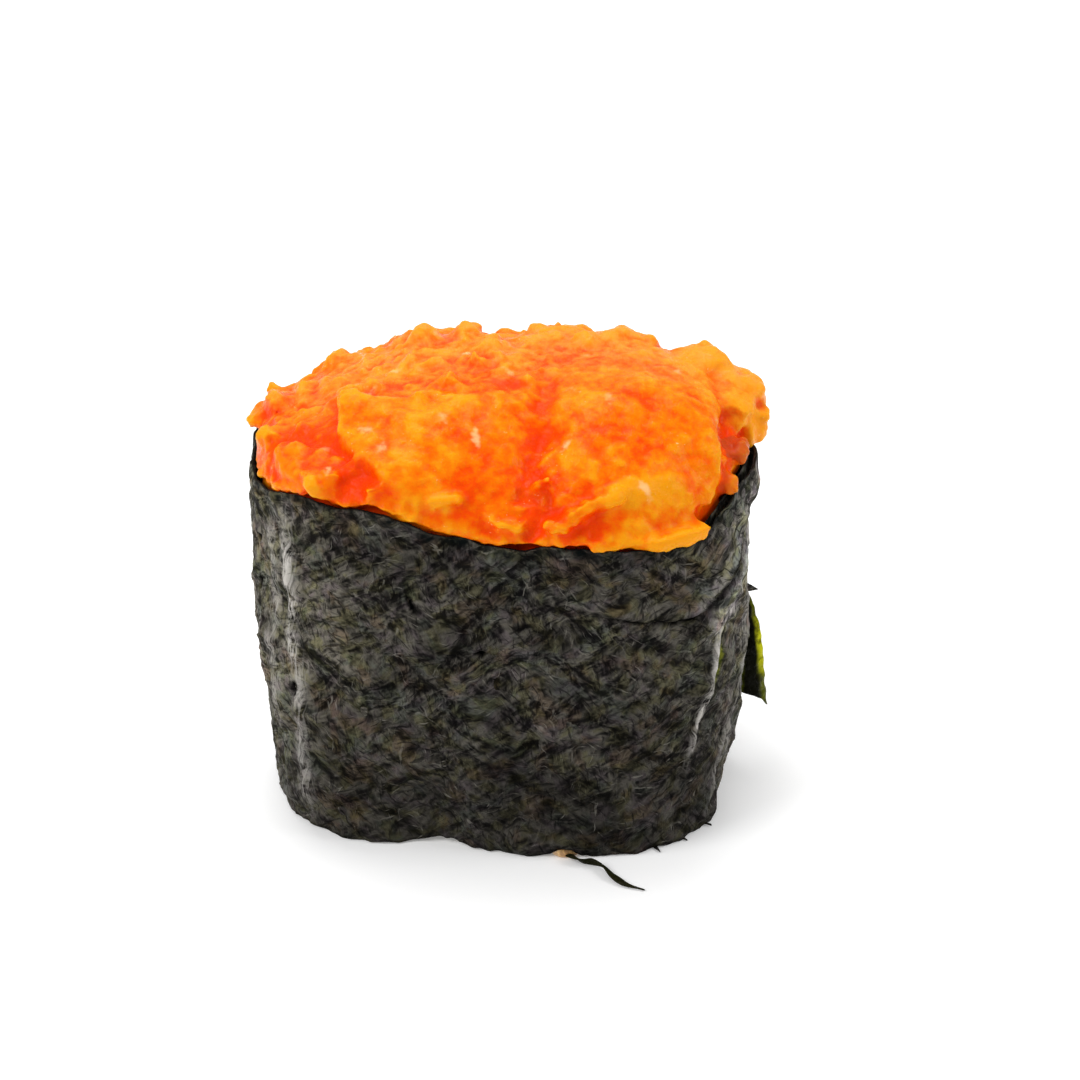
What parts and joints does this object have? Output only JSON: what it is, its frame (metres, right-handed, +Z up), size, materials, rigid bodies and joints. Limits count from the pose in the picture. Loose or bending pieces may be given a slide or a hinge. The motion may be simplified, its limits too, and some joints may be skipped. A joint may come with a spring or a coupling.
{
  "type": "gunkan sushi",
  "caption": "Battleship-style sushi: an oval band of dark seaweed round pressed rice, heaped with a lumpy orange chopped-fish topping.",
  "frame": {"origin": "middle of the underside, on the surface that the sushi stands on", "axes": "+X along the long way of the oval, +Z up; -Y is the front, where the rim dips"},
  "size_m": [0.0505, 0.0385, 0.045],
  "materials": {
    "nori": "dry toasted seaweed sheet, dark green-black, fibrous, with a soft sheen on its creases",
    "nori_shred": "torn seaweed sliver, dark olive, matt",
    "rice": "cooked sushi rice, off-white, slightly glossy and translucent",
    "salmon_topping": "moist chopped salmon in spicy mayonnaise, orange, glossy and translucent"
  },
  "bodies": {
    "root": {"nori": "nori", "nori_shred": "nori_shred", "rice": "rice", "salmon_topping": "salmon_topping"}
  },
  "joints": []
}
